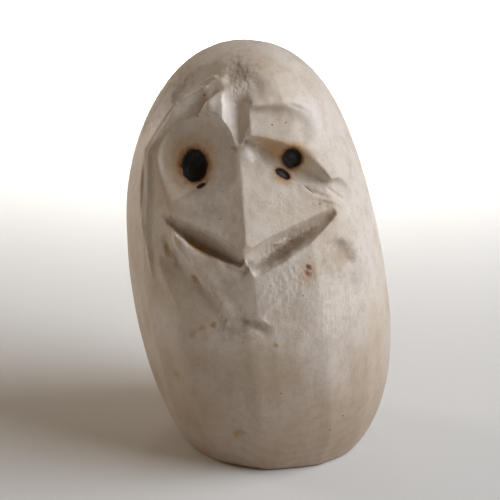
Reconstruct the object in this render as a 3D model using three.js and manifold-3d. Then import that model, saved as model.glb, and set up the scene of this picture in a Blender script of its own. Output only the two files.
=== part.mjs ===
// A small chick carved with a knife from one piece of pale wood.
// The egg-shaped body stands on its flat foot and leans a little to the left.
// The face is cut into the front: a roof-shaped beak under two brows, a round eye hollow on one side
// and a narrow one on the other, burned eye spots, a V-shaped mouth and a pointed lower beak.
// Millimetres, +Z up, the chick looks along -Y. The origin is at the bottom centre of its bounding box.
// Left and right are meant as seen from the front.

import * as THREE from "three";
import { ConvexGeometry } from "three/addons/geometries/ConvexGeometry.js";
import { mergeVertices } from "three/addons/utils/BufferGeometryUtils.js";
import Module from "manifold-3d";

const wasm = await Module();
wasm.setup();

// Driving dimensions of the egg-shaped blank
const HEIGHT = 80;
const WIDTH = 49.8;
const DEPTH = 46;
const WIDEST_AT = 30; // height of the widest section
const LOWER_REACH = 41; // how far below that section the lower curve would close
const FULLNESS = 2.2; // 2 is an ellipse, more is squarer
const LEAN = { foot: 2.8, crown: -2.8, over: 64 }; // sideways place of the section, foot to this height

// Knife facets that run up the body: where their edges stand round the front, in degrees from -Y
const FRONT_EDGES = [-80, -56, -36, -5, 28, 52];
const BACK_FACETS = 8;
const COLUMNS_PER_FACET = 3;
const LOWER_ROWS = 12;
const UPPER_ROWS = 24;
// how flat the facets are in the lower tier and above it, where 1 is quite flat
const FLATNESS = { tier: 0.55, above: 0.4 };
// the lower tier's facets end at these heights, one after another round the body
const TIER_ENDS = [24.5, 26.5, 25, 27, 24.5, 26];
const TIER_BLEND = 2.5;

const { degToRad, clamp, lerp } = THREE.MathUtils;

const smoothstep = (t) => {
  const s = clamp(t, 0, 1);
  return s * s * (3 - 2 * s);
};

// How large the blank's section is at a height, as a share of the widest one.
function swell(z) {
  const share = z < WIDEST_AT ? (WIDEST_AT - z) / LOWER_REACH : (z - WIDEST_AT) / (HEIGHT - WIDEST_AT);
  return Math.pow(Math.max(1 - Math.pow(share, FULLNESS), 0), 1 / FULLNESS);
}

const middle = (z) => LEAN.foot + (LEAN.crown - LEAN.foot) * smoothstep(z / LEAN.over);

// Edges of the knife facets, once round, from the first front edge
const backArc = 360 - (FRONT_EDGES.at(-1) - FRONT_EDGES[0]);
const facetEdges = [...FRONT_EDGES];
for (let i = 1; i <= BACK_FACETS; i++) {
  facetEdges.push(FRONT_EDGES.at(-1) + (backArc * i) / BACK_FACETS);
}
const FACETS = facetEdges.length - 1;

// A point of the faceted blank: facet number and the share across it, and a height.
function blankPoint(facet, across, z) {
  const start = degToRad(facetEdges[facet]);
  const end = degToRad(facetEdges[facet + 1]);
  const angle = start + (end - start) * across;
  const chord = Math.cos((end - start) / 2) / Math.cos(angle - (start + end) / 2);
  const tierEnd = TIER_ENDS[facet % TIER_ENDS.length];
  const flatness = lerp(FLATNESS.tier, FLATNESS.above, smoothstep((z - tierEnd) / TIER_BLEND + 0.5));
  const size = swell(z) * (1 - flatness * (1 - chord));
  return new THREE.Vector3(
    middle(z) + (WIDTH / 2) * size * Math.sin(angle),
    (-DEPTH / 2) * size * Math.cos(angle),
    z,
  );
}

// Heights of the blank's rows, closer together towards the crown
function rowHeights() {
  const heights = [];
  for (let i = 0; i < LOWER_ROWS; i++) {
    heights.push((WIDEST_AT * i) / LOWER_ROWS);
  }
  for (let i = 0; i <= UPPER_ROWS; i++) {
    heights.push(WIDEST_AT + (HEIGHT - WIDEST_AT) * Math.sin((Math.PI / 2) * (i / UPPER_ROWS)));
  }
  return heights;
}

// A geometry as a manifold-3d solid, with its doubles merged and its empty triangles dropped.
function solid(geometry) {
  const bare = geometry.clone();
  for (const name of ["normal", "uv"]) {
    bare.deleteAttribute(name);
  }
  const merged = mergeVertices(bare, 1e-4);
  const index = merged.index.array;
  const triangles = [];
  for (let i = 0; i < index.length; i += 3) {
    const [a, b, c] = [index[i], index[i + 1], index[i + 2]];
    if (a !== b && b !== c && c !== a) triangles.push(a, b, c);
  }
  return new wasm.Manifold(
    new wasm.Mesh({
      numProp: 3,
      vertProperties: merged.attributes.position.array,
      triVerts: new Uint32Array(triangles),
    }),
  );
}

// The blank: a lathe's grid of faces, with each vertex moved to its place on the faceted egg.
function makeBlank() {
  const heights = rowHeights();
  const profile = heights.map((z, i) => new THREE.Vector2(i === heights.length - 1 ? 0 : 1, z));
  profile.unshift(new THREE.Vector2(0, 0));
  const columns = FACETS * COLUMNS_PER_FACET;
  const lathe = new THREE.LatheGeometry(profile, columns);
  const { position, uv } = lathe.attributes;
  for (let i = 0; i < position.count; i++) {
    const row = Math.round(uv.getY(i) * (profile.length - 1));
    const column = Math.round(uv.getX(i) * columns) % columns;
    const facet = Math.floor(column / COLUMNS_PER_FACET);
    const across = (column % COLUMNS_PER_FACET) / COLUMNS_PER_FACET;
    const point = blankPoint(facet, across, row === 0 ? 0 : heights[row - 1]);
    if (row === 0) point.set(middle(0), 0, 0);
    if (row === profile.length - 1) point.set(middle(HEIGHT), 0, HEIGHT);
    position.setXYZ(i, point.x, point.y, point.z);
  }
  return solid(lathe);
}

// The knife works square to a plane that leans back with the face. A place on the face is given there
// as [across, up] from the body's axis at the foot, and a depth is measured into the egg from its surface.
const FACE_LEAN = degToRad(22);
const OUT = new THREE.Vector3(0, -Math.cos(FACE_LEAN), Math.sin(FACE_LEAN));
const UP = new THREE.Vector3(0, Math.sin(FACE_LEAN), Math.cos(FACE_LEAN));
const CHIP = 14; // how far a cutter reaches out of the face

// Above 0 when a point is inside the smooth egg that the knife facets were cut on
function insideEgg(p) {
  if (p.z <= 0 || p.z >= HEIGHT) return -1;
  const size = swell(p.z);
  return 1 - Math.hypot((p.x - middle(p.z)) / ((WIDTH / 2) * size), p.y / ((DEPTH / 2) * size));
}

// The point of the egg's front at a place on the face, sunk by a depth.
function face([across, up], depth = 0) {
  const start = new THREE.Vector3(across, 0, 0).addScaledVector(UP, up);
  let [inner, outer] = [0, HEIGHT];
  for (let i = 0; i < 40; i++) {
    const reach = (inner + outer) / 2;
    if (insideEgg(start.clone().addScaledVector(OUT, reach)) > 0) inner = reach;
    else outer = reach;
  }
  return start.addScaledVector(OUT, inner - depth);
}

// A chip cut out of the face: the hull of its floor's points and of the same points further out.
function chip(floor) {
  const outer = floor.map((p) => p.clone().addScaledVector(OUT, CHIP));
  return solid(new ConvexGeometry([...floor, ...outer]));
}

// The curve through a start, a middle and an end value
const through = ([start, mid, end], t) =>
  start * (1 - t) * (1 - 2 * t) + mid * 4 * t * (1 - t) + end * t * (2 * t - 1);

// A groove along a line of the face. Each measure is given at its start, middle and end:
// how far it reaches to the left and right of the line, the depth of its crease and of its two lips.
function groove(from, to, { left, right, crease, lips = [[0, 0, 0], [0, 0, 0]], bow = 0, stations = 8 }) {
  const [start, end] = [new THREE.Vector2(...from), new THREE.Vector2(...to)];
  const aside = end.clone().sub(start).normalize().rotateAround(new THREE.Vector2(), Math.PI / 2);
  const floor = [];
  for (let i = 0; i <= stations; i++) {
    const t = i / stations;
    const line = start.clone().lerp(end, t);
    line.addScaledVector(aside, bow * 4 * t * (1 - t));
    const sink = (offset, depth) => {
      const place = line.clone().addScaledVector(aside, offset);
      floor.push(face(place.toArray(), depth));
    };
    sink(0, through(crease, t));
    sink(through(left, t), through(lips[0], t));
    sink(-through(right, t), through(lips[1], t));
  }
  return chip(floor);
}

const ROUND_HOLLOW = { lips: [0, 0, 0, 0], turn: 0, steepness: 60, rings: 4, sides: 24 };

// A hollow with a round floor. Its reach and its rim's depth are given to the right, up, left and down.
function hollow(centre, reach, depth, options) {
  const { lips, turn, steepness, rings, sides } = { ...ROUND_HOLLOW, ...options };
  const rim = degToRad(steepness);
  const floor = [face(centre, depth)];
  for (let side = 0; side < sides; side++) {
    const angle = (2 * Math.PI * side) / sides;
    const [x, y] = [Math.cos(angle), Math.sin(angle)];
    const [east, north] = [x > 0 ? 0 : 2, y > 0 ? 1 : 3];
    const lip = lips[east] * x * x + lips[north] * y * y;
    for (let ring = 1; ring <= rings; ring++) {
      const swing = (rim * ring) / rings;
      const share = Math.sin(swing) / Math.sin(rim);
      const fall = (Math.cos(swing) - Math.cos(rim)) / (1 - Math.cos(rim));
      const place = new THREE.Vector2(x * reach[east] * share, y * reach[north] * share);
      place.rotateAround(new THREE.Vector2(), degToRad(turn));
      floor.push(face([centre[0] + place.x, centre[1] + place.y], lerp(lip, depth, fall)));
    }
  }
  return chip(floor);
}

// Landmarks of the face
const NASION = [-3.8, 54.4];
const BEAK_TIP = [-2.4, 36.3];
const MOUTH = { left: [-18.2, 42.3], right: [13.8, 43.2], middle: [-2.5, 34.4] };
const RIDGE_DEPTH = 4.2;
const BURNED = { steepness: 75, rings: 3, sides: 16 }; // the steep small pits of the eye spots

const INWARD = OUT.clone().negate();

// Where a line square to the face through a place meets a plane
function meet(plane, place) {
  const line = new THREE.Ray(face(place, -CHIP), INWARD);
  return line.intersectPlane(plane, new THREE.Vector3());
}

// One side of the beak: a flat cut through its ridge and the mouth's corner, up to a bent line by the eye.
function beakSide(corner, cornerDepth, eyeLine, beyond) {
  const [top, tip, end] = [face(NASION, RIDGE_DEPTH), face(BEAK_TIP), face(corner, cornerDepth)];
  const plane = new THREE.Plane().setFromCoplanarPoints(top, tip, end);
  const low = meet(plane, MOUTH.middle);
  const bends = eyeLine.map((place) => meet(plane, place));
  const far = bends.pop();
  const bend = bends.at(-1);
  const inner = chip([top, ...bends, low]);
  const outer = chip([bend, low, low.clone().lerp(end, beyond), bend.clone().lerp(far, beyond)]);
  return inner.add(outer);
}

// A flat cut: the plane through three places at their depths, cut within an outline of places.
function flat(threePlaces, threeDepths, outline) {
  const points = threePlaces.map((place, i) => face(place, threeDepths[i]));
  const plane = new THREE.Plane().setFromCoplanarPoints(...points);
  return chip(outline.map((place) => meet(plane, place)));
}

const cuts = [
  // the beak's two sides
  beakSide(MOUTH.left, 0.7, [[-4.9, 54.9], [-11.5, 50.6], [-18.7, 47.2]], 1.15),
  beakSide(MOUTH.right, 0.5, [[-2.8, 55.8], [1.4, 52.5], [12.7, 48.2]], 1.04),
  // the cheekbone that ends the beak's right side
  groove([12.4, 48.6], [15, 40.6], {
    left: [2.2, 4.6, 2.4],
    right: [0.1, 0.1, 0.1],
    crease: [1.8, 1.5, -0.2],
    lips: [[0.2, -0.5, -0.7], [1.8, 1.5, -0.2]],
  }),
  // the left brow's outer band, above and beside the eye
  groove([-7.2, 66.6], [-21.2, 54.2], {
    bow: -1.6,
    left: [1.5, 3.2, 2.3],
    right: [0, 0, 0],
    crease: [0, 0, 0],
    lips: [[0.3, 1.1, 1.2], [0, 0, 0]],
  }),
  groove([-21.2, 54.4], [-20.6, 33], {
    bow: -1.2,
    left: [2.3, 3, 6],
    right: [0, 0, 0],
    crease: [0, 0, -0.3],
    lips: [[1.2, 1, -0.3], [0, 0, -0.3]],
  }),
  // the crown, cut down behind that brow so that its peak stands proud
  groove([-6.2, 67.6], [-16, 62.4], {
    bow: -0.5,
    left: [0.2, 0.2, 0.1],
    right: [3, 3, 1.6],
    crease: [0.6, 0.6, 0],
    lips: [[0, 0, -0.2], [-0.1, 0, -0.3]],
  }),
  // round hollow of the left eye
  hollow([-11.9, 52.5], [7.6, 8.8, 7.2, 8], 5.7, { lips: [4.2, 0.9, 1.2, 3.4] }),
  // the scoop torn out between the brows
  hollow([-5, 66.2], [4.2, 3.6, 1.7, 4.4], 1.4, {
    lips: [0, -0.1, 0.2, 0.7],
    turn: 25,
    steepness: 50,
    sides: 16,
    rings: 3,
  }),
  // the notch that runs on from it down to the beak
  groove([-3.9, 65.6], [-3.75, 54.1], {
    bow: 0.7,
    left: [0.6, 1.6, 0.8],
    right: [3.0, 3.1, 2.4],
    crease: [1.5, 2.7, 4.2],
    lips: [[0.3, 1.2, 2.6], [-0.4, 0.3, 2.2]],
  }),
  // the right brow's lid, set a little below the crown
  groove([-3.1, 61.4], [10, 60.9], {
    bow: 0.3,
    left: [0.1, 0.1, 0.1],
    right: [5.2, 7, 8],
    crease: [1.3, 0.4, -0.8],
    lips: [[0.3, 0, -0.8], [1.6, 0.2, -1.1]],
  }),
  // narrow hollow of the right eye
  groove([-3, 55.9], [12.8, 48.2], {
    bow: -2.5,
    left: [0.6, 5.3, 0.4],
    right: [0.1, 0.1, 0.1],
    crease: [4.7, 5.3, 1.8],
    lips: [[1.2, 0.4, 0], [4.7, 5.3, 1.8]],
  }),
  // the two halves of the mouth
  groove(MOUTH.left, [-3.2, 33.4], {
    bow: -1.2,
    left: [0.4, 3.1, 1.5],
    right: [0.3, 0.7, 0.8],
    crease: [1.3, 4.8, 2.2],
    lips: [[0.7, 2, 0.4], [0.5, 0.3, 0.3]],
  }),
  groove([-2.1, 33.2], MOUTH.right, {
    bow: 0.2,
    left: [2.3, 2, 0.9],
    right: [2.1, 2.9, 0.4],
    crease: [2, 4.3, 1.6],
    lips: [[0.4, 2.1, 0.9], [0.3, 0.2, 0.4]],
  }),
  // the flat left half of the lower beak, down from its ridge
  flat([[-1.4, 33.6], [0.2, 24.8], [-10, 31]], [0.1, 0.1, 1.2], [
    [-1.4, 34.2],
    [0.4, 24.1],
    [-1.9, 23.5],
    [-5.4, 25],
    [-10.6, 30.4],
    [-15, 38],
    [-9, 39.4],
  ]),
  // the valley on it
  groove([-12.7, 35.3], [-4.2, 24], {
    left: [1.6, 3, 3],
    right: [0.9, 1.2, 1.2],
    crease: [-0.1, 0.6, 0.5],
    lips: [[-0.3, 0, -0.1], [-0.3, 0, 0]],
  }),
  // the deeper one that sets the lower beak off from the cheek
  groove([-17.6, 39.2], [-5.8, 23.4], {
    bow: -0.8,
    left: [0.5, 1.1, 0.8],
    right: [3.4, 5.4, 5.4],
    crease: [0, 1.2, 0.8],
    lips: [[-0.3, 0, -0.1], [-0.4, -0.4, -0.5]],
  }),
  // under the chin
  groove([-6, 24.6], [2.6, 21.4], {
    bow: 0.4,
    left: [0.5, 0.7, 0.3],
    right: [3.6, 5, 4.4],
    crease: [0.5, 1.3, -0.1],
    lips: [[0, 0.1, -0.3], [-0.4, -0.4, -0.5]],
  }),
  // right of the lower beak
  groove([6.8, 30.6], [0.6, 23.4], {
    left: [6, 8, 6],
    right: [0.8, 0.9, 0.8],
    crease: [0.1, 0.9, 0.7],
    lips: [[-0.5, -0.4, -0.4], [-0.2, 0, 0]],
  }),
  // a shallow hollow in the right cheek
  hollow([14.6, 35.2], [4, 3, 4, 3], 0.9, { turn: -40, steepness: 50 }),
  // burned spots of the eyes
  hollow([-11.9, 51.3], [2.4, 3.3, 2.4, 3.3], 7.6, { lips: [5.4, 5, 5, 5], ...BURNED }),
  hollow([5.6, 52.5], [1.9, 1.9, 1.9, 1.9], 5.2, { lips: [3.2, 2.2, 3.2, 4], ...BURNED }),
];

// The carved chick: what stays in one piece with the body when the loose crumbs between cuts fall off
const FINEST_EDGE = 0.02;
const [carved] = makeBlank()
  .subtract(wasm.Manifold.union(cuts))
  .simplify(FINEST_EDGE)
  .decompose()
  .sort((a, b) => b.volume() - a.volume());

// The carved solid as a geometry, moved so that its foot stands round the origin.
function toGeometry(made) {
  const mesh = made.getMesh();
  const geometry = new THREE.BufferGeometry()
    .setAttribute("position", new THREE.BufferAttribute(new Float32Array(mesh.vertProperties), 3))
    .setIndex(new THREE.BufferAttribute(new Uint32Array(mesh.triVerts), 1));
  geometry.computeBoundingBox();
  const { min, max } = geometry.boundingBox;
  return geometry.translate(-(min.x + max.x) / 2, -(min.y + max.y) / 2, -min.z);
}

const chick = new THREE.Group();
const body = new THREE.Mesh(
  toGeometry(carved),
  new THREE.MeshStandardMaterial({ color: 0xd6c7b0, roughness: 0.6, metalness: 0 }),
);
body.name = "carved_chick";
chick.add(body);
export default chick;
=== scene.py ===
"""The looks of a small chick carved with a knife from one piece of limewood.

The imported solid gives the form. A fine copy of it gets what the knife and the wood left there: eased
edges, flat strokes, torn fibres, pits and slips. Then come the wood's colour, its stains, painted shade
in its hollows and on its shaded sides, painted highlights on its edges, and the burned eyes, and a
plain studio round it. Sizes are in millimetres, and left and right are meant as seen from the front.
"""

from __future__ import annotations

import logging
import math
from collections.abc import Iterable
from dataclasses import dataclass, field
from enum import Enum

import bmesh
import bpy
import numpy as np
from mathutils import Matrix, Vector, kdtree, noise

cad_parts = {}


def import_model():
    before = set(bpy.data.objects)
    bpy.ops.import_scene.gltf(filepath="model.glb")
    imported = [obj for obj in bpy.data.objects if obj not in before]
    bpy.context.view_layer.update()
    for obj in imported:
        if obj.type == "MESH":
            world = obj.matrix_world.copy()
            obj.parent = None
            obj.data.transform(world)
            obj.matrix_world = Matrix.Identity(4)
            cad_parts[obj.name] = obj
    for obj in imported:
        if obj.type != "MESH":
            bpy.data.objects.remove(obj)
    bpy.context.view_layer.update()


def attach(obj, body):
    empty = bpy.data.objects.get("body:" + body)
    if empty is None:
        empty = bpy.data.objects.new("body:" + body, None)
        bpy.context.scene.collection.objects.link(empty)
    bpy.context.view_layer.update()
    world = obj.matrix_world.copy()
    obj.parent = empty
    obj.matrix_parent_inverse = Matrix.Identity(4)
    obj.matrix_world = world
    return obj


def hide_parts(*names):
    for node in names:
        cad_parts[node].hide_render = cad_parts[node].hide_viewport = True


log = logging.getLogger("carved_chick")

MM = 0.001
BODY = "root"
SOLID = "carved_chick"

Place = tuple[float, float]
Triple = tuple[float, float, float]
Tree = bpy.types.NodeTree
Socket = bpy.types.NodeSocket


def linear(colour: str) -> tuple[float, float, float, float]:
    """Turns an sRGB hex colour into a linear colour.

    Args:
        colour: six hex digits, without a sign before them.

    Returns:
        Red, green and blue as the shader wants them, and an alpha of 1.
    """
    shares = [int(colour[i : i + 2], 16) / 255 for i in (0, 2, 4)]
    red, green, blue = (s / 12.92 if s <= 0.04045 else ((s + 0.055) / 1.055) ** 2.4 for s in shares)
    return red, green, blue, 1.0


def add(
    tree: Tree, kind: str, inputs: dict[str | int, object] | None = None, **settings: object
) -> bpy.types.Node:
    """Adds a node with its settings and its links.

    Args:
        tree: the node tree that gets the node.
        kind: the node's type.
        inputs: for an input's name or number, the output that feeds it or its plain value.
        settings: values of the node's own properties.

    Returns:
        The new node.
    """
    node = tree.nodes.new(kind)
    for name, value in settings.items():
        setattr(node, name, value)
    for name, value in (inputs or {}).items():
        if isinstance(value, Socket):
            tree.links.new(value, node.inputs[name])
        else:
            node.inputs[name].default_value = value
    return node


def triangle_count(piece: bpy.types.Object) -> int:
    """Counts a piece's triangles."""
    return sum(len(polygon.vertices) - 2 for polygon in piece.data.polygons)


def smoothstep(share: np.ndarray) -> np.ndarray:
    """Eases shares from 0 to 1, and holds them there outside."""
    held = np.clip(share, 0.0, 1.0)
    return held * held * (3 - 2 * held)


def noise_at(points: np.ndarray, grain: Triple, shift: float = 0.0) -> np.ndarray:
    """Smooth noise from about -1 to 1.

    Args:
        points: one row of x, y and z for each point, in millimetres.
        grain: the noise's size along x, y and z, in millimetres.
        shift: moves the pattern, so that two of the same size differ.

    Returns:
        One value for each point.
    """
    places = (points / np.array(grain) + shift).tolist()
    return np.fromiter((noise.noise(place) for place in places), float, len(places))


class MeshArrays:
    """A mesh's vertices as arrays, in millimetres."""

    def __init__(self, mesh: bpy.types.Mesh) -> None:
        """Reads the mesh.

        Args:
            mesh: the mesh whose vertices are read and later moved.
        """
        self.mesh = mesh
        count = len(mesh.vertices)
        self.points = np.empty(count * 3)
        mesh.vertices.foreach_get("co", self.points)
        self.points = self.points.reshape(-1, 3) / MM
        self.normals = np.empty(count * 3)
        mesh.vertex_normals.foreach_get("vector", self.normals)
        self.normals = self.normals.reshape(-1, 3)

    def raise_by(self, heights: np.ndarray) -> None:
        """Moves each vertex along its normal.

        Args:
            heights: how far each vertex goes out, in millimetres.
        """
        self.points += self.normals * heights[:, None]
        self.mesh.vertices.foreach_set("co", (self.points * MM).ravel())
        self.mesh.update()


@dataclass(frozen=True)
class FacePlane:
    """The plane that the knife worked square to, which leans back with the face.

    A place on it is (across, up) from the body's axis at the foot. The rim is how squarely a slope has
    to look out of the face to belong to it wholly.
    """

    lean: float = 22.0
    axis_foot: Triple = (-0.05, -0.1, 0.0)
    rim: float = 0.35

    @property
    def out(self) -> Vector:
        """The direction out of the face."""
        angle = math.radians(self.lean)
        return Vector((0, -math.cos(angle), math.sin(angle)))

    @property
    def up(self) -> Vector:
        """The direction up the face."""
        angle = math.radians(self.lean)
        return Vector((0, math.sin(angle), math.cos(angle)))

    def places(self, points: np.ndarray) -> np.ndarray:
        """Gives the place on the face of each point.

        Args:
            points: one row of x, y and z for each point.

        Returns:
            One row of across and up for each point.
        """
        away = points - np.array(self.axis_foot)
        return np.column_stack([away[:, 0], away @ np.array(self.up)])

    def facing(self, normals: np.ndarray) -> np.ndarray:
        """How squarely each normal looks out of the face, from 0 to 1 and soft at the edge."""
        return smoothstep((normals @ np.array(self.out)) / self.rim)


@dataclass(frozen=True)
class Patch:
    """An oval area of the face.

    Its reach is its half width and half height, its turn is in degrees, and its edge is the share of
    its reach over which it fades.
    """

    centre: Place
    reach: Place
    turn: float
    edge: float

    def share(self, places: np.ndarray) -> np.ndarray:
        """Gives how much each place belongs to the patch.

        Args:
            places: one row of across and up for each place.

        Returns:
            1 inside, 0 outside, and a smooth fall between.
        """
        angle = math.radians(self.turn)
        turned = (places - np.array(self.centre)) @ np.array(
            [[math.cos(angle), -math.sin(angle)], [math.sin(angle), math.cos(angle)]]
        )
        away = np.hypot(turned[:, 0] / self.reach[0], turned[:, 1] / self.reach[1])
        return smoothstep((1 - away) / self.edge)


class Section(Enum):
    """How a stroke's section is shaped."""

    ROUND = "round"
    CREASED = "creased"


@dataclass(frozen=True)
class Stroke:
    """A mark along a line of the face, raised by its height, or cut in where that is below 0.

    The reach is how far it spreads to each side, the bow how far its middle stands off the line, and
    the fade the share of its length over which it dies away at its start and at its end. The fall is
    how steeply a round section drops beside its line.
    """

    start: Place
    end: Place
    reach: float
    height: float
    bow: float = 0.0
    section: Section = Section.ROUND
    fade: Place = (0.3, 0.3)
    fall: float = 2.5

    def rise(self, places: np.ndarray) -> np.ndarray:
        """Gives the mark's height at each place.

        Args:
            places: one row of across and up for each place.

        Returns:
            The height in millimetres, 0 away from the mark.
        """
        line = np.array(self.end) - np.array(self.start)
        length = float(np.hypot(*line))
        along = line / length
        aside = np.array([-along[1], along[0]])
        away = places - np.array(self.start)
        share = (away @ along) / length
        offset = (away @ aside - self.bow * 4 * share * (1 - share)) / self.reach
        ends = smoothstep(share / self.fade[0]) * smoothstep((1 - share) / self.fade[1])
        if self.section is Section.CREASED:
            form = np.clip(1 - np.abs(offset), 0, 1)
        else:
            form = np.exp(-self.fall * offset * offset)
        return self.height * form * ends


@dataclass(frozen=True)
class TornFibres:
    """A patch where the knife ran against the grain and left short fibres standing.

    Coarser bundles lie among them. Their size and height are shares of the fibres' own.
    """

    patch: Patch
    height: float
    fibre_width: float
    fibre_length: float
    bundle_size: float = 2.3
    bundle_height: float = 0.6
    bundle_shift: float = 7.0

    def rise(self, points: np.ndarray, places: np.ndarray) -> np.ndarray:
        """Gives how far the fibres stand out.

        Args:
            points: one row of x, y and z for each point.
            places: the same points' places on the face.

        Returns:
            The height in millimetres.
        """
        share = self.patch.share(places)
        heights = np.zeros(len(points))
        inside = share > 0
        grain = (self.fibre_width, self.fibre_width, self.fibre_length)
        fine = noise_at(points[inside], grain)
        wide = tuple(self.bundle_size * size for size in grain)
        coarse = noise_at(points[inside], wide, self.bundle_shift)
        heights[inside] = self.height * share[inside] * (fine + self.bundle_height * coarse)
        return heights


@dataclass(frozen=True)
class KnifeStrokes:
    """Flat strokes side by side, each a little lower in its middle than where two of them meet.

    The slope is the share of the width over which a stroke sinks from its border to its depth.
    """

    width: float
    length: float
    depth: float
    seed: int
    slope: float = 0.7

    def rise(self, points: np.ndarray) -> np.ndarray:
        """Gives the strokes' height.

        Args:
            points: one row of x, y and z for each point.

        Returns:
            The height in millimetres, 0 where strokes meet and below 0 inside one.
        """
        rng = np.random.default_rng(self.seed)
        squeeze = np.array([1, 1, self.width / self.length])
        low, high = (points * squeeze).min(0), (points * squeeze).max(0)
        count = int(np.prod((high - low) / self.width + 1))
        seeds = rng.uniform(low, high, (count, 3))
        tree = kdtree.KDTree(count)
        for number, place in enumerate(seeds.tolist()):
            tree.insert(place, number)
        tree.balance()
        squeezed = (points * squeeze).tolist()
        near = np.array([[hit[2] for hit in tree.find_n(place, 2)] for place in squeezed])
        from_border = (near[:, 1] - near[:, 0]) / self.width
        return -self.depth * smoothstep(from_border / self.slope)


class MarkKind(Enum):
    """What a mark in the wood's colour stands for, painted light and painted shade among them, from the
    first that is laid on to the last.
    """

    # painted highlights and sheen, with edges partly worn pale
    LIGHT_AND_WEAR = "worn"
    # painted shade in hollows and on shaded sides, with some grime
    SHADE_AND_GRIME = "grime"
    AMBER = "amber"
    RUST = "rust"
    SINGE = "singe"
    SCORCH = "scorch"
    SPECK = "speck"
    CHAR = "char"
    ASH = "ash"


@dataclass(frozen=True)
class Mark:
    """A coloured mark at a place on the face, with a patch's sizes.

    Ragged is how far its outline wanders, as a share of its reach, and the strength runs to 1.
    """

    kind: MarkKind
    centre: Place
    reach: Place
    strength: float = 1.0
    turn: float = 0.0
    edge: float = 0.9
    ragged: float = 0.3


@dataclass(frozen=True)
class BurnedSpot:
    """A spot burned in with a hot rod: a black crust with some ash, in a brown and a singed ring.

    The halo is how wide the brown ring is, the singe how many times wider the singed ring is, and
    singed_to how far that one is shifted. The pit is how deep the spot lies below the solid, the ash
    how much of it shows, and the rim the share of the smaller reach that stays free of ash.
    """

    centre: Place
    reach: Place
    turn: float = 0.0
    halo: float = 1.0
    pit: float = 0.0
    ash: float = 0.0
    singed_to: Place = (0.0, 0.0)
    singe: float = 3.0
    rim: float = 0.15

    def ring(self, width: float) -> Place:
        """Gives the reach of a ring that goes out from the spot by a width."""
        return self.reach[0] + width, self.reach[1] + width

    def marks(self) -> list[Mark]:
        """Gives the spot's colours.

        Returns:
            The marks, from the singed ring to the ash.
        """
        singed = (self.centre[0] + self.singed_to[0], self.centre[1] + self.singed_to[1])
        outer, ring, inner = (
            self.ring(width) for width in (self.singe * self.halo, self.halo, -self.rim * min(self.reach))
        )
        return [
            Mark(MarkKind.SINGE, singed, outer, 0.85, self.turn, edge=0.85, ragged=0.07),
            Mark(MarkKind.SCORCH, self.centre, ring, 1.0, self.turn, edge=0.42, ragged=0.06),
            Mark(MarkKind.CHAR, self.centre, self.reach, 1.0, self.turn, edge=0.12, ragged=0.08),
            Mark(MarkKind.ASH, self.centre, inner, self.ash, self.turn, edge=0.6, ragged=0.2),
        ]

    def crust(self) -> TornFibres:
        """Gives the crumbled surface of the burned wood."""
        area = Patch(self.centre, self.reach, self.turn, edge=0.3)
        return TornFibres(area, height=0.14, fibre_width=0.5, fibre_length=0.7)

    def sink(self) -> Patch:
        """Gives the area that lies deeper than the wood round it."""
        return Patch(self.centre, self.reach, self.turn, edge=0.35)


@dataclass(frozen=True)
class Grain:
    """A soft pattern in the wood: its size along x, y and z in millimetres, and the colour it brings.

    It shows where its noise lies between its low and its high end, by up to its share.
    """

    size: Triple
    colour: str
    low: float
    high: float
    share: float
    detail: float = 2.0


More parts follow.
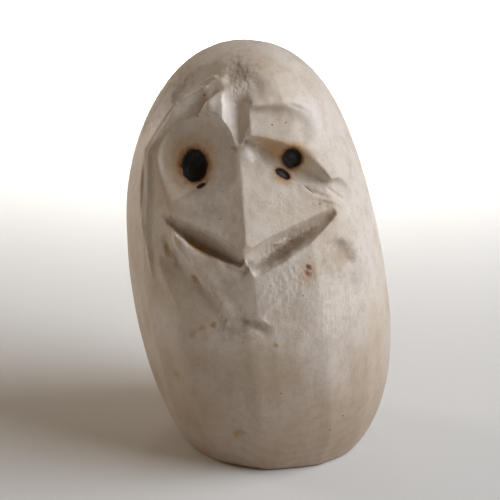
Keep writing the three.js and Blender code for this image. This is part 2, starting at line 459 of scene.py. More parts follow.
@dataclass(frozen=True)
class Limewood:
    """Limewood, cut with a knife and long held in hands: pale, close and silky, with faint rings and
    fibres.

    Its rings are about 2 mm apart. Its fibres are far too fine to show, so the streaks are bundles of
    them, and the pores show only as a soft grain.
    """

    name: str = "knife_cut_limewood"
    fresh: str = "dad0c5"
    # the darker tint of the foot and the hollows: partly handled wood, partly painted shade
    handled_and_shade: str = "8a6c4c"
    grains: tuple[Grain, ...] = (
        # broad clouds of warmer wood
        Grain((12.0, 12.0, 15.0), "c9b8a2", 0.35, 0.7, 0.8, 1.0),
        # cloudy patches, where hands have left it darker
        Grain((4.5, 4.5, 6.0), "b39a80", 0.47, 0.72, 0.3),
        # a mottled touch, where fingers have polished the high spots
        Grain((1.5, 1.5, 2.0), "a8917a", 0.45, 0.75, 0.22),
        # bundles of fibres
        Grain((0.45, 0.45, 3.5), "a78e70", 0.42, 0.75, 0.07, 3.0),
        # pores, drawn coarser than they are so that they show
        Grain((0.22, 0.22, 0.4), "94785c", 0.52, 0.8, 0.32, 1.0),
    )
    ring: str = "ad9577"
    ring_spacing: float = 2.1
    ring_start: float = 0.2
    ring_share: float = 0.22
    ring_top: float = 40.0
    ring_slope: Triple = (0.5, 0.7, 1.0)
    # how far the rings wander, and over what length
    ring_wander: float = 14.0
    wander_length: float = 20.0
    pith: Triple = (4.0, 30.0, -38.0)
    # the wood gets darker over this height towards the foot, partly browner wood and partly painted shade
    foot_height: float = 40.0
    foot_share: float = 0.55
    # how deep a hollow is where its two darker tints start and are full, and their shares: painted shade
    # in the hollows, with some handling and grime
    hollow_shade_and_handling: Triple = (0.15, 0.9, 0.42)
    hollow_shade_and_grime: Triple = (1.1, 1.9, 0.5)
    # the size of what makes the marks' outlines ragged, and how hard it pushes them
    ragged_size: float = 1.111
    ragged_push: float = 4.0
    # the finest relief: bundles of fibres, and the pores, which show where the wood was torn
    fibre: Triple = (0.3, 0.3, 1.2)
    pore: float = 0.24
    torn_grain: float = 2.5
    relief: float = 0.07
    relief_strength: float = 0.4
    ior: float = 1.5
    # patches from silky to dull
    patch: Triple = (0.833, 0.833, 2.857)
    silky: float = 0.33
    dull: float = 0.59
    char_roughness: float = 0.62
    colours: dict[MarkKind, str] = field(
        default_factory=lambda: {
            # painted highlights, with edges partly worn pale
            MarkKind.LIGHT_AND_WEAR: "efe8df",
            # painted shade, with some grime
            MarkKind.SHADE_AND_GRIME: "6e543a",
            MarkKind.AMBER: "a67c3a",
            MarkKind.RUST: "7b4222",
            MarkKind.SINGE: "b98944",
            MarkKind.SCORCH: "7c4610",
            MarkKind.SPECK: "6a4f3c",
            MarkKind.CHAR: "0f0e0e",
            MarkKind.ASH: "4c4c49",
        }
    )

    def material(self, plane: FacePlane, marks: Iterable[Mark]) -> bpy.types.Material:
        """Makes the material.

        Args:
            plane: the plane that the marks' places are on.
            marks: the coloured marks in the wood.

        Returns:
            The finished material.
        """
        material = bpy.data.materials.new(self.name)
        material.use_nodes = True
        tree = material.node_tree
        tree.nodes.clear()
        own = add(tree, "ShaderNodeTexCoord").outputs["Object"]
        place = add(tree, "ShaderNodeVectorMath", {0: own, "Scale": 1 / MM}, operation="SCALE").outputs[0]
        colour = self.wood_colour(tree, place)
        masks = self.mark_masks(tree, plane, place, marks)
        for kind, mask in masks.items():
            over = {0: mask, 6: colour, 7: linear(self.colours[kind])}
            colour = add(tree, "ShaderNodeMix", over, data_type="RGBA").outputs[2]
        looks = {
            "Base Color": colour,
            "IOR": self.ior,
            "Roughness": self.surface_roughness(tree, place, masks),
            "Normal": self.surface_bump(tree, place),
        }
        surface = add(tree, "ShaderNodeBsdfPrincipled", looks).outputs[0]
        add(tree, "ShaderNodeOutputMaterial", {"Surface": surface})
        return material

    def wood_colour(self, tree: Tree, place: Socket) -> Socket:
        """Makes the bare wood's colour: its grains, its growth rings, a foot darker towards the bottom
        (partly browner wood, partly painted shade) and hollows darkened with painted shade and some
        grime.

        Args:
            tree: the material's node tree.
            place: the place on the piece, in millimetres.

        Returns:
            The colour.
        """
        layers = []
        for grain in self.grains:
            finer = tuple(1 / size for size in grain.size)
            scaled = add(tree, "ShaderNodeVectorMath", {0: place, 1: finer}, operation="MULTIPLY")
            noisy = {"Vector": scaled.outputs[0], "Scale": 1.0, "Detail": grain.detail}
            pattern = add(tree, "ShaderNodeTexNoise", noisy).outputs[0]
            layers.append((grain.colour, pattern, grain.low, grain.high, grain.share))
        height = add(tree, "ShaderNodeSeparateXYZ", {0: place}).outputs[2]
        rings = self.growth_rings(tree, place, height)
        layers.append((self.ring, rings, self.ring_start, 1.0, self.ring_share))
        # darker towards the foot: partly browner wood, partly painted shade at the bottom
        layers.append((self.handled_and_shade, height, self.foot_height, 0.0, self.foot_share))
        hollow = add(tree, "ShaderNodeAttribute", attribute_name="hollow").outputs["Fac"]
        # the hollows darker: painted shade in the recesses, with some handling and grime
        layers.append((self.handled_and_shade, hollow, *self.hollow_shade_and_handling))
        layers.append((self.colours[MarkKind.SHADE_AND_GRIME], hollow, *self.hollow_shade_and_grime))
        colour: tuple | Socket = linear(self.fresh)
        for tint, pattern, low, high, share in layers:
            given = {"Value": pattern, "From Min": low, "From Max": high, "To Max": share}
            eased = add(tree, "ShaderNodeMapRange", given, interpolation_type="SMOOTHSTEP").outputs[0]
            over = {0: eased, 6: colour, 7: linear(tint)}
            colour = add(tree, "ShaderNodeMix", over, data_type="RGBA").outputs[2]
        return colour

    def growth_rings(self, tree: Tree, place: Socket, height: Socket) -> Socket:
        """Makes the growth rings, which show more and more towards the foot.

        Args:
            tree: the material's node tree.
            place: the place on the piece, in millimetres.
            height: the height above the foot, in millimetres.

        Returns:
            A value that rises through each year and starts again with the next.
        """
        noisy = {"Vector": place, "Scale": 1 / self.wander_length, "Detail": 1.0}
        wander = add(tree, "ShaderNodeTexNoise", noisy).outputs[0]
        # the rings stand round a pith that lies far below and behind, so they cross the foot nearly level
        level = add(tree, "ShaderNodeVectorMath", {0: place, 1: self.ring_slope}, operation="MULTIPLY")
        away = {0: level.outputs[0], 1: self.pith}
        radius = add(tree, "ShaderNodeVectorMath", away, operation="DISTANCE").outputs[1]
        drift = {0: wander, 1: self.ring_wander, 2: radius}
        drifted = add(tree, "ShaderNodeMath", drift, operation="MULTIPLY_ADD").outputs[0]
        spaced = {0: drifted, 1: self.ring_spacing}
        turns = add(tree, "ShaderNodeMath", spaced, operation="DIVIDE").outputs[0]
        year = add(tree, "ShaderNodeMath", {0: turns}, operation="FRACT").outputs[0]
        given = {"Value": height, "From Min": self.ring_top, "From Max": 0.0}
        low_down = add(tree, "ShaderNodeMapRange", given).outputs[0]
        return add(tree, "ShaderNodeMath", {0: year, 1: low_down}, operation="MULTIPLY").outputs[0]

    def mark_masks(
        self, tree: Tree, plane: FacePlane, place: Socket, marks: Iterable[Mark]
    ) -> dict[MarkKind, Socket]:
        """Makes one mask for each kind of mark.

        Args:
            tree: the material's node tree.
            plane: the plane that the marks' places are on.
            place: the place on the piece, in millimetres.
            marks: the coloured marks in the wood.

        Returns:
            For each kind that is used, how much of it shows.
        """
        from_foot = {0: place, 1: plane.axis_foot}
        away = add(tree, "ShaderNodeVectorMath", from_foot, operation="SUBTRACT").outputs[0]
        across = add(tree, "ShaderNodeSeparateXYZ", {0: away}).outputs[0]
        upward = {0: away, 1: tuple(plane.up)}
        up = add(tree, "ShaderNodeVectorMath", upward, operation="DOT_PRODUCT").outputs[1]
        flat = add(tree, "ShaderNodeCombineXYZ", {0: across, 1: up}).outputs[0]
        noisy = {"Vector": place, "Scale": 1 / self.ragged_size, "Detail": 1.5}
        noise_colour = add(tree, "ShaderNodeTexNoise", noisy).outputs[1]
        centred = {0: noise_colour, 1: (0.5,) * 3}
        wander = add(tree, "ShaderNodeVectorMath", centred, operation="SUBTRACT").outputs[0]
        front = add(tree, "ShaderNodeAttribute", attribute_name="front").outputs["Fac"]
        group = self.mark_group()
        masks: dict[MarkKind, Socket] = {}
        for mark in sorted(marks, key=lambda each: list(MarkKind).index(each.kind)):
            mask = add(
                tree,
                "ShaderNodeGroup",
                {
                    "Place": flat,
                    "Centre": (*mark.centre, 0),
                    "Turn": math.radians(mark.turn),
                    "Reach": (*mark.reach, 1),
                    "Wander": wander,
                    "Ragged": mark.ragged * self.ragged_push,
                    "Edge": mark.edge,
                    "Strength": mark.strength,
                },
                node_tree=group,
            ).outputs[0]
            if mark.kind in masks:
                either = {0: masks[mark.kind], 1: mask}
                mask = add(tree, "ShaderNodeMath", either, operation="MAXIMUM").outputs[0]
            masks[mark.kind] = mask
        return {
            kind: add(tree, "ShaderNodeMath", {0: mask, 1: front}, operation="MULTIPLY").outputs[0]
            for kind, mask in masks.items()
        }

    @staticmethod
    def mark_group() -> Tree:
        """Makes the node group that gives one mark's mask.

        Returns:
            The group, which every mark uses.
        """
        group = bpy.data.node_groups.new("mark_on_the_face", "ShaderNodeTree")
        for kind, sockets in {
            "NodeSocketVector": ("Place", "Centre", "Reach", "Wander"),
            "NodeSocketFloat": ("Turn", "Ragged", "Edge", "Strength"),
        }.items():
            for socket in sockets:
                group.interface.new_socket(socket, in_out="INPUT", socket_type=kind)
        group.interface.new_socket("Mask", in_out="OUTPUT", socket_type="NodeSocketFloat")
        given = add(group, "NodeGroupInput").outputs
        from_centre = {0: given["Place"], 1: given["Centre"]}
        away = add(group, "ShaderNodeVectorMath", from_centre, operation="SUBTRACT").outputs[0]
        back = add(group, "ShaderNodeMath", {0: given["Turn"], 1: -1.0}, operation="MULTIPLY").outputs[0]
        unturned = {"Vector": away, "Angle": back}
        turned = add(group, "ShaderNodeVectorRotate", unturned, rotation_type="Z_AXIS").outputs[0]
        in_reach = {0: turned, 1: given["Reach"]}
        sized = add(group, "ShaderNodeVectorMath", in_reach, operation="DIVIDE").outputs[0]
        by_noise = {0: given["Wander"], "Scale": given["Ragged"]}
        push = add(group, "ShaderNodeVectorMath", by_noise, operation="SCALE").outputs[0]
        ragged = add(group, "ShaderNodeVectorMath", {0: sized, 1: push}, operation="ADD").outputs[0]
        on_plane = {0: ragged, 1: (1, 1, 0)}
        level = add(group, "ShaderNodeVectorMath", on_plane, operation="MULTIPLY").outputs[0]
        far = add(group, "ShaderNodeVectorMath", {0: level}, operation="LENGTH").outputs[1]
        inner = add(group, "ShaderNodeMath", {0: 1.0, 1: given["Edge"]}, operation="SUBTRACT").outputs[0]
        fall = {"Value": far, "From Min": 1.0, "From Max": inner, "To Max": given["Strength"]}
        mask = add(group, "ShaderNodeMapRange", fall, interpolation_type="SMOOTHSTEP").outputs[0]
        add(group, "NodeGroupOutput", {0: mask})
        return group

    def surface_roughness(self, tree: Tree, place: Socket, masks: dict[MarkKind, Socket]) -> Socket:
        """Makes the roughness: wood in patches from silky to dull, and dull char.

        Args:
            tree: the material's node tree.
            place: the place on the piece, in millimetres.
            masks: the masks of the marks.

        Returns:
            The roughness.
        """
        finer = tuple(1 / size for size in self.patch)
        scaled = add(tree, "ShaderNodeVectorMath", {0: place, 1: finer}, operation="MULTIPLY")
        noisy = {"Vector": scaled.outputs[0], "Scale": 1.0, "Detail": 3.0}
        patchy = add(tree, "ShaderNodeTexNoise", noisy).outputs[0]
        satin = {"Value": patchy, "To Min": self.silky, "To Max": self.dull}
        wood = add(tree, "ShaderNodeMapRange", satin).outputs[0]
        crust = {0: masks[MarkKind.CHAR], 2: wood, 3: self.char_roughness}
        return add(tree, "ShaderNodeMix", crust, data_type="FLOAT").outputs[0]

    def surface_bump(self, tree: Tree, place: Socket) -> Socket:
        """Makes the finest relief: fibre bundles, and a rough grain where the wood was torn.

        Args:
            tree: the material's node tree.
            place: the place on the piece, in millimetres.

        Returns:
            The bumped normal.
        """
        relief = []
        for size in (self.fibre, (self.pore,) * 3):
            finer = tuple(1 / each for each in size)
            scaled = add(tree, "ShaderNodeVectorMath", {0: place, 1: finer}, operation="MULTIPLY")
            noisy = {"Vector": scaled.outputs[0], "Scale": 1.0, "Detail": 2.0}
            relief.append(add(tree, "ShaderNodeTexNoise", noisy).outputs[0])
        fibres, pores = relief
        area = add(tree, "ShaderNodeAttribute", attribute_name="torn").outputs["Fac"]
        torn = add(tree, "ShaderNodeMath", {0: area, 1: self.torn_grain}, operation="MULTIPLY").outputs[0]
        rough = {0: pores, 1: torn, 2: fibres}
        both = add(tree, "ShaderNodeMath", rough, operation="MULTIPLY_ADD").outputs[0]
        raised = {"Height": both, "Strength": self.relief_strength, "Distance": self.relief * MM}
        return add(tree, "ShaderNodeBump", raised).outputs[0]


@dataclass
class CarvedChick:
    """The chick: one piece of limewood, carved with a knife, with two burned eyes.

    Easings are rounds of smoothing, each of which takes a point part of the way to its neighbours'
    middle.
    """

    plane: FacePlane = field(default_factory=FacePlane)
    finish: Limewood = field(default_factory=Limewood)
    joined_within: float = 0.002
    voxel: float = 0.26
    most_triangles: int = 190_000
    face: Patch = Patch((-3.6, 46.0), (23.5, 27.5), 0, 0.15)
    easing_step: float = 0.5
    body_easing: int = 90
    face_easing: int = 3
    body_strokes: KnifeStrokes = KnifeStrokes(width=5.0, length=17.0, depth=0.1, seed=4)
    face_strokes: KnifeStrokes = KnifeStrokes(width=2.6, length=5.0, depth=0.05, seed=9)
    # the unevenness of a surface cut by hand: height, size along x, y and z, and shift
    waves: tuple[tuple[float, Triple, float], ...] = (
        (0.06, (5.0, 5.0, 9.0), 3.0),
        (0.012, (0.7, 0.7, 3.0), 5.0),
    )
    # the height over which the carving starts above the flat foot
    foot_fade: float = 0.6
    # the smooth shell that hollows are measured from, and the deepest that is told apart
    shell_easing: int = 220
    deepest: float = 3.0
    soft: tuple[tuple[Patch, int], ...] = (
        # the lower left rim of the round eye hollow
        (Patch((-16.5, 46.5), (5.0, 4.5), 0, 0.6), 60),
        # the same hollow's right side, which runs into the beak
        (Patch((-6.2, 49.4), (2.4, 5.0), -10, 0.6), 70),
        # the scoop's upper left rim
        (Patch((-6.2, 69.0), (2.2, 1.8), 0, 0.6), 60),
        # the end of the right brow's lid, and the cheekbone under it
        (Patch((8.6, 57.8), (4.4, 6.6), 0, 0.5), 260),
        (Patch((3.2, 61.2), (4.8, 1.3), 0, 0.6), 100),
        (Patch((13.6, 45.0), (2.8, 3.6), 0, 0.5), 60),
        # the top of the notch, and the brow at its left
        (Patch((-2.4, 65.4), (3.4, 4.4), 0, 0.5), 240),
        (Patch((-7.5, 65.8), (2.4, 2.4), 0, 0.6), 100),
        # the mouth's left lip, and the lower beak's left edge
        (Patch((-10.8, 36.2), (8.0, 1.2), -32, 0.6), 20),
        (Patch((-9.0, 28.6), (2.2, 6.0), 44, 0.6), 90),
        (Patch((-5.4, 25.0), (2.0, 1.8), 0, 0.6), 90),
        # the valleys beside the lower beak, and the chin
        (Patch((-13.2, 29.5), (3.4, 7.0), 30, 0.6), 60),
        (Patch((5.5, 27.0), (6.0, 5.0), 0, 0.6), 100),
        (Patch((-1.2, 21.2), (5.0, 2.6), -20, 0.6), 25),
    )
    spots: tuple[BurnedSpot, ...] = (
        BurnedSpot((-12.0, 51.5), (2.55, 3.2), 4, halo=1.1, singed_to=(-0.2, 0.4)),
        BurnedSpot((5.6, 52.6), (1.8, 1.8), halo=0.8, ash=0.6, singed_to=(0.3, 0.3)),
        # the slip of the rod under each eye
        BurnedSpot((4.0, 49.9), (1.6, 0.68), -33, halo=0.5, pit=0.45, ash=0.9, singed_to=(0.1, -0.5)),
        BurnedSpot((-10.8, 47.8), (1.0, 0.36), 27, halo=0.12, pit=0.4, ash=0.6),
    )
    strokes: tuple[Stroke, ...] = (
        # the fold under the left eye
        Stroke((-17.2, 45.2), (-8.6, 50.0), 0.8, -0.3, bow=-0.8, section=Section.CREASED),
        # the scratch beside the right eye
        Stroke((7.6, 48.0), (9.9, 46.2), 0.25, -0.3, section=Section.CREASED),
        # the thin ridge of the left brow, from its peak round the eye and down the cheek
        Stroke((-7.4, 67.4), (-15.2, 62.3), 0.5, 0.5, bow=-0.5, fade=(0.1, 0.05)),
        Stroke((-14.8, 62.8), (-21.0, 54.1), 0.45, 0.5, bow=-0.2, fade=(0.05, 0.05)),
        Stroke((-20.8, 54.6), (-21.6, 40.4), 0.45, 0.5, bow=0.2, fade=(0.05, 0.05)),
        Stroke((-21.6, 40.8), (-19.6, 30.0), 0.45, 0.4, bow=0.2, fade=(0.05, 0.4)),
        # the swelling at the left brow's inner end, and the beak's root
        Stroke((-9.8, 66.0), (-8.7, 59.8), 1.8, 0.38, fade=(0.3, 0.4)),
        Stroke((-3.1, 55.8), (-1.9, 51.0), 1.4, 0.3),
        # the right brow: its bulge, worn down, and the end of the line over it
        Stroke((7.3, 61.4), (8.5, 53.8), 3.0, -0.5, fade=(0.35, 0.35)),
        Stroke((4.6, 62.3), (9.6, 60.4), 0.6, -0.16, bow=0.15, fade=(0.2, 0.7)),
        # the filled top of the notch
        Stroke((-4.6, 67.0), (-4.2, 61.2), 2.4, 0.6, fade=(0.3, 0.5)),
        Stroke((-0.4, 67.4), (-0.8, 61.8), 2.4, -0.4, fade=(0.3, 0.5)),
        # the rib down the lower beak's left half, and the valleys left of it
        Stroke((-16.6, 39.3), (-5.3, 24.4), 1.8, 0.25, bow=0.9, fade=(0.2, 0.15)),
        Stroke((-14.8, 33.6), (-6.6, 24.6), 1.5, -0.38),
        Stroke((-18.0, 39.8), (-14.4, 32.0), 1.0, -0.45, bow=-0.3),
        Stroke((-12.9, 32.4), (-10.8, 28.6), 0.6, -0.3),
        # the left lip, worn down, and its bright facet at the beak's tip
        Stroke((-14.4, 39.2), (-7.4, 34.0), 0.9, -0.4, bow=-0.3),
        Stroke((-8.0, 34.3), (-2.4, 31.9), 1.1, -0.5, bow=-0.2, fade=(0.4, 0.15)),
        # the lower wall of the mouth's right half at the beak's tip, and the flake on its upper wall
        Stroke((-1.5, 31.4), (5.6, 35.9), 1.1, -0.6, fade=(0.25, 0.4)),
        Stroke((2.2, 36.9), (4.8, 38.4), 0.3, 0.4),
        # the lower beak's right edge, and the cut under the chin
        Stroke((0.2, 24.3), (5.6, 30.4), 0.9, 0.14, bow=-0.3),
        Stroke((-5.8, 24.0), (2.6, 20.6), 1.6, -0.6, bow=0.3, fade=(0.4, 0.3)),
        # the crumpled fibres at the mouth's right corner
        Stroke((8.8, 47.4), (13.0, 45.4), 0.5, -0.2, bow=-0.3, section=Section.CREASED),
        Stroke((10.4, 45.4), (15.2, 44.0), 0.6, 0.22, bow=0.3),
        Stroke((11.6, 47.8), (15.6, 45.0), 0.4, -0.16, section=Section.CREASED),
        # the hollow that runs down the right cheek
        Stroke((12.3, 38.3), (17.6, 32.3), 2.2, -0.6, bow=0.5),
    )
    torn: tuple[TornFibres, ...] = (
        TornFibres(Patch((9.6, 25.4), (13.0, 8.6), -8, 0.5), 0.05, 0.36, 0.7),
        TornFibres(Patch((3.5, 30.5), (6.0, 4.5), 30, 0.5), 0.07, 0.36, 0.7),
        TornFibres(Patch((-3.6, 67.6), (4.2, 5.6), 0, 0.6), 0.13, 0.45, 0.8),
        TornFibres(Patch((3.5, 44.0), (6.0, 7.0), 0, 0.7), 0.03, 0.36, 0.8),
        TornFibres(Patch((11.8, 45.6), (3.8, 2.8), 0, 0.6), 0.1, 0.38, 0.8),
        TornFibres(Patch((-1.0, 21.6), (4.2, 2.0), -20, 0.5), 0.06, 0.38, 0.7),
        TornFibres(Patch((4.6, 37.6), (8.5, 1.7), 30, 0.5), 0.09, 0.38, 0.8),
    )
    marks: tuple[Mark, ...] = (
        # painted highlights: bright lines along the edges, partly worn pale, facets on the notch and the
        # beak's root lit brighter, and a painted sheen on the right breast
        Mark(MarkKind.LIGHT_AND_WEAR, (-11.4, 65.1), (4.6, 0.4), 0.5, 33, 0.7, 0.05),
        Mark(MarkKind.LIGHT_AND_WEAR, (-18.1, 58.3), (5.2, 0.4), 0.5, 54, 0.7, 0.05),
        Mark(MarkKind.LIGHT_AND_WEAR, (-20.9, 48.0), (0.4, 7.0), 0.5, 0, 0.7, 0.05),
        Mark(MarkKind.LIGHT_AND_WEAR, (-1.8, 53.8), (2.2, 2.8), 0.95, -20),
        Mark(MarkKind.LIGHT_AND_WEAR, (-2.1, 57.3), (0.7, 2.0), 0.8, -22, 0.7, 0.2),
        Mark(MarkKind.LIGHT_AND_WEAR, (-20.2, 42.0), (2.0, 10.0), 0.35, 0, 0.9, 0.2),
        Mark(MarkKind.LIGHT_AND_WEAR, (-5.6, 61.4), (2.4, 6.4), 0.7, 10, 0.9, 0.2),
        Mark(MarkKind.LIGHT_AND_WEAR, (-8.0, 63.6), (2.4, 4.6), 0.6, 10, 0.9, 0.2),
        Mark(MarkKind.LIGHT_AND_WEAR, (14.4, 25.6), (4.4, 7.0), 0.35, 0, 0.9, 0.4),
        # painted shade in the mouth and at its corners, with some dirt in the grooves
        Mark(MarkKind.SHADE_AND_GRIME, (-9.6, 37.4), (9.0, 2.1), 0.42, -31, 0.6, 0.12),
        Mark(MarkKind.SHADE_AND_GRIME, (4.7, 36.3), (10.4, 1.6), 0.75, 34, 0.7, 0.15),
        Mark(MarkKind.SHADE_AND_GRIME, (-2.0, 33.2), (1.6, 2.0), 0.6),
        Mark(MarkKind.SHADE_AND_GRIME, (-16.2, 41.4), (2.2, 1.1), 0.5, -35, 0.8, 0.2),
        Mark(MarkKind.SHADE_AND_GRIME, (12.8, 42.0), (2.4, 1.1), 0.4, 34, 0.8, 0.2),
        # painted shade on the scoop's torn wood, which faces away from the light, with some grime there,
        # at the notch's foot and on the beak's shaded left side
        Mark(MarkKind.SHADE_AND_GRIME, (-3.8, 68.0), (4.4, 5.8), 0.24, 0, 0.9, 0.4),
        Mark(MarkKind.SHADE_AND_GRIME, (-4.7, 54.2), (0.9, 1.1), 0.45, 0, 0.8),
        Mark(MarkKind.SHADE_AND_GRIME, (-8.0, 45.0), (6.0, 7.5), 0.16, 20, 0.9, 0.4),
        # painted shade on the lower beak's shaded left facet, in the shadow under the chin and in the
        # right cheek's hollow
        Mark(MarkKind.SHADE_AND_GRIME, (-5.6, 28.0), (4.2, 5.4), 0.28, 20),
        Mark(MarkKind.SHADE_AND_GRIME, (-4.0, 22.2), (5.2, 3.6), 0.48, -20),
        Mark(MarkKind.SHADE_AND_GRIME, (14.0, 35.0), (4.6, 4.6), 0.34, 0, 0.9, 0.25),
        Mark(MarkKind.SHADE_AND_GRIME, (17.8, 31.6), (3.8, 4.6), 0.2, 0, 0.9, 0.25),
        # the smoke of the rod in the right eye's hollow
        Mark(MarkKind.SINGE, (3.9, 53.6), (7.6, 2.5), 0.7, -26, 0.7, 0.1),
        # painted shade on the crown's shaded left side, and the lower front a little darker
        Mark(MarkKind.SHADE_AND_GRIME, (-17.4, 63.0), (3.4, 10.5), 0.46, -40),
        Mark(MarkKind.SHADE_AND_GRIME, (2.0, 13.0), (13.0, 11.0), 0.14),
        # brown shadows in the valleys of the lower beak
        Mark(MarkKind.SHADE_AND_GRIME, (-15.8, 35.4), (1.1, 5.2), 0.4, 22),
        Mark(MarkKind.SHADE_AND_GRIME, (-10.4, 28.8), (1.2, 5.6), 0.2, 38),
        # the rust spot under the mouth, and stains
        Mark(MarkKind.RUST, (8.7, 33.1), (0.7, 0.65), 0.95, -15, 0.6, 0.35),
        Mark(MarkKind.RUST, (8.5, 32.0), (1.0, 0.75), 0.75, -15, 0.8, 0.45),
        Mark(MarkKind.AMBER, (8.4, 32.0), (3.2, 3.6), 0.5, -15),
        Mark(MarkKind.AMBER, (14.4, 34.8), (5.0, 5.0), 0.2, 0, 0.9, 0.25),
        Mark(MarkKind.AMBER, (-11.7, 36.6), (5.2, 1.0), 0.75, -37),
        Mark(MarkKind.AMBER, (-9.0, 34.0), (3.2, 2.4), 0.3, -30),
        Mark(MarkKind.AMBER, (-17.0, 36.0), (0.7, 2.6), 0.6, 14),
        Mark(MarkKind.AMBER, (-12.0, 30.9), (0.6, 1.6), 0.6, 30),
        Mark(MarkKind.AMBER, (-12.5, 20.7), (1.2, 1.5), 0.5, -20),
        Mark(MarkKind.AMBER, (-10.6, 21.9), (1.2, 0.9), 0.55),
        Mark(MarkKind.AMBER, (-8.5, 22.5), (0.8, 1.1), 0.8),
        Mark(MarkKind.AMBER, (2.8, 19.0), (0.9, 0.7), 0.8, 0, 0.8, 0.4),
        Mark(MarkKind.AMBER, (-4.0, 1.9), (1.7, 1.4), 0.6, 0, 0.9, 0.4),
        Mark(MarkKind.AMBER, (-15.6, 12.8), (0.8, 1.4), 0.45, 10, 0.9, 0.4),
        Mark(MarkKind.AMBER, (-0.4, 69.1), (1.5, 0.5), 0.35, -50, 0.9, 0.4),
        # the dark line in the scratch, and specks
        Mark(MarkKind.SPECK, (8.7, 47.1), (1.5, 0.13), 0.9, -38, 0.6, 0.1),
        *(
            Mark(MarkKind.SPECK, centre, reach, 0.85, edge=0.7, ragged=0.25)
            for centre, reach in (
                ((2.0, 58.5), (0.3, 0.22)),
                ((4.5, 58.9), (0.22, 0.2)),
                ((-11.3, 60.2), (0.22, 0.3)),
                ((10.7, 44.5), (0.28, 0.26)),
                ((-7.2, 41.7), (0.2, 0.2)),
                ((7.7, 27.9), (0.24, 0.2)),
                ((-10.1, 63.9), (0.35, 0.22)),
                ((15.6, 4.9), (0.28, 0.24)),
                ((3.8, 9.7), (0.2, 0.2)),
                ((-7.0, 24.1), (0.18, 0.25)),
                ((13.2, 2.2), (0.24, 0.2)),
            )
        ),
    )

    def build(self) -> bpy.types.Object:
        """Makes the finished piece.

        Returns:
            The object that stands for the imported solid.
        """
        piece = self.fine_copy()
        self.ease(piece)
        self.carve(piece)
        self.thin(piece)
        self.mark(piece)
        piece.data.materials.clear()
        all_marks = [*self.marks, *(mark for spot in self.spots for mark in spot.marks())]
        piece.data.materials.append(self.finish.material(self.plane, all_marks))
        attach(piece, BODY)
        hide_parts(SOLID)
        return piece

    @staticmethod
    def apply(piece: bpy.types.Object, kind: str, **settings: object) -> None:
        """Gives the piece a modifier and makes its result the mesh.

        Args:
            piece: the object that is changed.
            kind: the modifier's type.
            settings: values of the modifier's properties.
        """
        modifier = piece.modifiers.new(kind.lower(), kind)
        for name, value in settings.items():
            setattr(modifier, name, value)
        graph = bpy.context.evaluated_depsgraph_get()
        mesh = bpy.data.meshes.new_from_object(piece.evaluated_get(graph), depsgraph=graph)
        piece.modifiers.clear()
        old = piece.data
        piece.data = mesh
        bpy.data.meshes.remove(old)

    def fine_copy(self) -> bpy.types.Object:
        """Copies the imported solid, joins its loose triangles and gives it a fine even mesh.

        Returns:
            The copy, before anything is worn or cut.
        """
        mesh = bpy.data.objects[SOLID].data.copy()
        solid = bmesh.new()
        solid.from_mesh(mesh)
        bmesh.ops.remove_doubles(solid, verts=solid.verts, dist=self.joined_within * MM)
        solid.to_mesh(mesh)
        solid.free()
        piece = bpy.data.objects.new("carved_limewood_chick", mesh)
        bpy.context.scene.collection.objects.link(piece)
        self.apply(piece, "REMESH", mode="VOXEL", voxel_size=self.voxel * MM, use_smooth_shade=True)
        return piece

    def ease(self, piece: bpy.types.Object) -> None:
        """Wears the edges: softly all over, and more on the body than on the face.

        Args:
            piece: the chick.
        """
        arrays = MeshArrays(piece.data)
        on_face = self.face.share(self.plane.places(arrays.points)) * self.plane.facing(arrays.normals)
        group = piece.vertex_groups.new(name="body")
        for number, share in enumerate((1 - on_face).tolist()):
            group.add([number], share, "REPLACE")
        step = self.easing_step
        self.apply(piece, "SMOOTH", factor=step, iterations=self.body_easing, vertex_group="body")
        places = self.plane.places(arrays.points)
        for patch, rounds in self.soft:
            group = piece.vertex_groups.new(name="soft")
            shares = patch.share(places) * on_face
            for number in np.flatnonzero(shares > 0).tolist():
                group.add([number], float(shares[number]), "REPLACE")
            self.apply(piece, "SMOOTH", factor=step, iterations=rounds, vertex_group="soft")
            piece.vertex_groups.remove(piece.vertex_groups["soft"])
        self.apply(piece, "SMOOTH", factor=step, iterations=self.face_easing)
        piece.vertex_groups.clear()

    def carve(self, piece: bpy.types.Object) -> None:
        """Cuts the knife strokes, the slips, the pits and the torn fibres.

        Args:
            piece: the chick.
        """
        arrays = MeshArrays(piece.data)
        points = arrays.points
        places = self.plane.places(points)
        facing = self.plane.facing(arrays.normals)
        on_face = self.face.share(places) * facing
        heights = (1 - on_face) * self.body_strokes.rise(points)
        heights += on_face * self.face_strokes.rise(points)
        for height, size, shift in self.waves:
            heights += height * noise_at(points, size, shift)
        for stroke in self.strokes:
            heights += facing * stroke.rise(places)
        for spot in self.spots:
            heights -= spot.pit * facing * spot.sink().share(places)
        for area in (*self.torn, *(spot.crust() for spot in self.spots)):
            heights += facing * area.rise(points, places)
        # the foot stays flat
        heights *= smoothstep(points[:, 2] / self.foot_fade)
        arrays.raise_by(heights)

    def thin(self, piece: bpy.types.Object) -> None:
        """Takes out the triangles that flat areas don't need.

        Args:
            piece: the chick.
        """
        triangles = triangle_count(piece)
        if triangles > self.most_triangles:
            self.apply(piece, "DECIMATE", ratio=self.most_triangles / triangles)
        piece.data.shade_smooth()

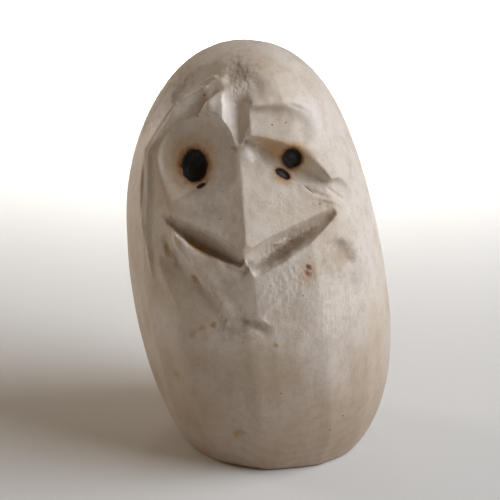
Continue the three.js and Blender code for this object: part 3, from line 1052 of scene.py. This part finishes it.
    def mark(self, piece: bpy.types.Object) -> None:
        """Writes what the material reads: the front, the hollows and the torn areas.

        Args:
            piece: the chick.
        """
        arrays = MeshArrays(piece.data)
        places = self.plane.places(arrays.points)
        shell = bpy.data.objects.new("shell", piece.data.copy())
        bpy.context.scene.collection.objects.link(shell)
        self.apply(shell, "SMOOTH", factor=self.easing_step, iterations=self.shell_easing)
        smooth = MeshArrays(shell.data)
        front = self.plane.facing(smooth.normals)
        sunk = ((smooth.points - arrays.points) * arrays.normals).sum(1)
        spare = shell.data
        bpy.data.objects.remove(shell)
        bpy.data.meshes.remove(spare)
        torn = sum(area.patch.share(places) for area in self.torn)
        for name, values in {
            "front": front,
            "hollow": np.clip(sunk, 0, self.deepest),
            "torn": np.clip(torn, 0, 1) * front,
        }.items():
            attribute = piece.data.attributes.new(name, "FLOAT", "POINT")
            attribute.data.foreach_set("value", values.astype(np.float32))


@dataclass(frozen=True)
class MattPaper:
    """Matt white background paper: even, bright and without gloss, with a faint felt of fibres."""

    name: str = "matt_background_paper"
    colour: str = "dfddd9"
    roughness: float = 0.95
    felt: float = 1.111
    felt_depth: float = 0.1
    felt_strength: float = 0.05

    def material(self) -> bpy.types.Material:
        """Makes the material.

        Returns:
            The finished material.
        """
        material = bpy.data.materials.new(self.name)
        material.use_nodes = True
        tree = material.node_tree
        tree.nodes.clear()
        own = add(tree, "ShaderNodeTexCoord").outputs["Object"]
        noisy = {"Vector": own, "Scale": 1 / (self.felt * MM), "Detail": 2.0}
        felt = add(tree, "ShaderNodeTexNoise", noisy).outputs[0]
        raised = {"Height": felt, "Strength": self.felt_strength, "Distance": self.felt_depth * MM}
        bump = add(tree, "ShaderNodeBump", raised).outputs[0]
        looks = {"Base Color": linear(self.colour), "Roughness": self.roughness, "Normal": bump}
        paper = add(tree, "ShaderNodeBsdfPrincipled", looks).outputs[0]
        add(tree, "ShaderNodeOutputMaterial", {"Surface": paper})
        return material


@dataclass
class PaperSweep:
    """The floor that rises behind the chick in one curve, as in a photo studio."""

    half_width: float = 1400.0
    front: float = 900.0
    back: float = 900.0
    bend: float = 350.0
    height: float = 1500.0
    bend_steps: int = 24
    finish: MattPaper = field(default_factory=MattPaper)

    def build(self) -> bpy.types.Object:
        """Makes the sweep from an edge that is drawn out and spun up.

        Returns:
            The staged object.
        """
        sheet = bmesh.new()
        corners = [(side * self.half_width * MM, -self.front * MM, 0) for side in (-1, 1)]
        ends = [bmesh.ops.create_vert(sheet, co=corner)["vert"][0] for corner in corners]
        edge = sheet.edges.new(ends)
        flat = bmesh.ops.extrude_edge_only(sheet, edges=[edge])["geom"]
        moved = [each for each in flat if isinstance(each, bmesh.types.BMVert)]
        bmesh.ops.translate(sheet, verts=moved, vec=(0, (self.front + self.back) * MM, 0))
        rim = [each for each in flat if isinstance(each, bmesh.types.BMEdge)]
        curve = bmesh.ops.spin(
            sheet,
            geom=[*moved, *rim],
            cent=(0, self.back * MM, self.bend * MM),
            axis=(1, 0, 0),
            angle=math.radians(90),
            steps=self.bend_steps,
            use_merge=False,
        )["geom_last"]
        top = [each for each in curve if isinstance(each, bmesh.types.BMEdge)]
        wall = bmesh.ops.extrude_edge_only(sheet, edges=top)["geom"]
        raised = [each for each in wall if isinstance(each, bmesh.types.BMVert)]
        bmesh.ops.translate(sheet, verts=raised, vec=(0, 0, self.height * MM))
        bmesh.ops.recalc_face_normals(sheet, faces=sheet.faces)
        mesh = bpy.data.meshes.new("paper_sweep")
        sheet.to_mesh(mesh)
        sheet.free()
        mesh.shade_smooth()
        mesh.materials.append(self.finish.material())
        sweep = bpy.data.objects.new("paper_sweep", mesh)
        bpy.context.scene.collection.objects.link(sweep)
        return sweep


@dataclass(frozen=True)
class SoftLight:
    """A soft window or panel, round and as wide as its size.

    Its bearing is from the camera's side towards the right, in degrees.
    """

    name: str
    bearing: float
    elevation: float
    distance: float
    size: float
    watts: float
    colour: str
    aim: Triple = (0.0, 0.0, 39.0)
    spread: float = 180.0

    def build(self) -> bpy.types.Object:
        """Makes the light, turned to the point that it is aimed at.

        Returns:
            The light.
        """
        lamp = bpy.data.lights.new(self.name, "AREA")
        lamp.shape = "DISK"
        lamp.size = self.size * MM
        lamp.energy = self.watts
        lamp.color = linear(self.colour)[:3]
        lamp.spread = math.radians(self.spread)
        light = bpy.data.objects.new(self.name, lamp)
        bpy.context.scene.collection.objects.link(light)
        bearing, elevation = math.radians(self.bearing), math.radians(self.elevation)
        level = math.cos(elevation)
        away = Vector((math.sin(bearing) * level, -math.cos(bearing) * level, math.sin(elevation)))
        place = (Vector(self.aim) + away * self.distance) * MM
        light.matrix_world = Matrix.Translation(place) @ away.to_track_quat("Z", "Y").to_matrix().to_4x4()
        return light


@dataclass
class Studio:
    """The plain soft light and the camera at the photograph's viewing angle."""

    target: Triple = (-1.95, -0.1, 39.0)
    elevation: float = 22.0
    distance: float = 320.0
    lens: float = 120.0
    sensor: float = 36.0
    nearest: float = 10.0
    furthest: float = 10_000.0
    ambient: str = "ffe0b8"
    ambient_strength: float = 0.155
    lights: tuple[SoftLight, ...] = (
        # a large window on the right, and a small bright wall behind on the left
        SoftLight("window", 78, 36, 700, 600, 5.4, "eef5ff"),
        SoftLight("wall", -116, 10, 800, 260, 2.0, "fff7ee"),
        # a panel over the floor behind the chick, whose light doesn't reach it
        SoftLight("background_panel", 180, 80, 420, 220, 1.1, "ffffff", (0.0, 340.0, 0.0), 60),
    )

    def build(self) -> None:
        """Makes the world, the lights and the camera."""
        world = bpy.data.worlds.new("soft_room")
        world.use_nodes = True
        background = world.node_tree.nodes["Background"]
        background.inputs["Color"].default_value = linear(self.ambient)
        background.inputs["Strength"].default_value = self.ambient_strength
        bpy.context.scene.world = world
        bpy.context.scene.view_settings.view_transform = "Standard"
        for light in self.lights:
            light.build()
        angle = math.radians(self.elevation)
        back = Vector((0, -math.cos(angle), math.sin(angle)))
        camera = bpy.data.cameras.new("camera")
        camera.lens = self.lens
        camera.sensor_width = self.sensor
        camera.clip_start, camera.clip_end = self.nearest * MM, self.furthest * MM
        eye = bpy.data.objects.new("camera", camera)
        bpy.context.scene.collection.objects.link(eye)
        place = (Vector(self.target) + back * self.distance) * MM
        eye.matrix_world = Matrix.Translation(place) @ back.to_track_quat("Z", "Y").to_matrix().to_4x4()
        bpy.context.scene.camera = eye


def main() -> None:
    """Builds the chick, its floor and its studio, in that order."""
    logging.basicConfig(level=logging.INFO, format="%(name)s %(message)s")
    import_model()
    Studio().build()
    for maker in (CarvedChick(), PaperSweep()):
        piece = maker.build()
        log.info("%s: %d triangles", piece.name, triangle_count(piece))


if __name__ == "__main__":
    main()
